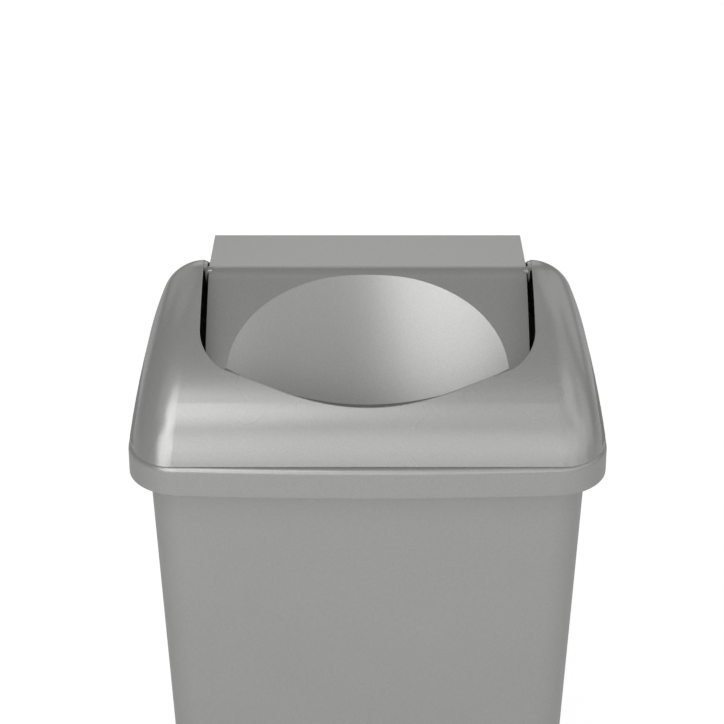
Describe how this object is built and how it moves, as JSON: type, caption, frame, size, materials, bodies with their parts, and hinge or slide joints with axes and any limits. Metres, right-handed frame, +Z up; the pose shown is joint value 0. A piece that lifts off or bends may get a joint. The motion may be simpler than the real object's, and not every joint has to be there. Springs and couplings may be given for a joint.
{
  "type": "swing-lid trash can",
  "caption": "Tapered kitchen bin with a deep rim, a lift-off domed hood and a scooped flap that swings both ways on side pins.",
  "frame": {"origin": "centre of the bounding box in plan, on the floor the bin stands on", "axes": "+Z up, -Y towards the scooped front of the flap, +X to the right seen from the front"},
  "size_m": [0.3816, 0.306, 0.6364],
  "materials": {
    "can_plastic": "satin silver-grey metallic",
    "hood_plastic": "satin silver-grey metallic",
    "flap_plastic": "satin silver-grey metallic"
  },
  "bodies": {
    "can": {"can_body": "can_plastic"},
    "hood": {"lid_hood": "hood_plastic"},
    "flap": {"swing_flap": "flap_plastic"}
  },
  "joints": [
    {"name": "lid_lift", "type": "slide", "parent": "can", "child": "hood", "axis": [0, 0, 1], "range_m": [0, 0.14]},
    {"name": "swing_pivot", "type": "hinge", "parent": "hood", "child": "flap", "pos_m": [0, 0, 0.627], "axis": [1, 0, 0], "range_deg": [-80, 50]}
  ]
}
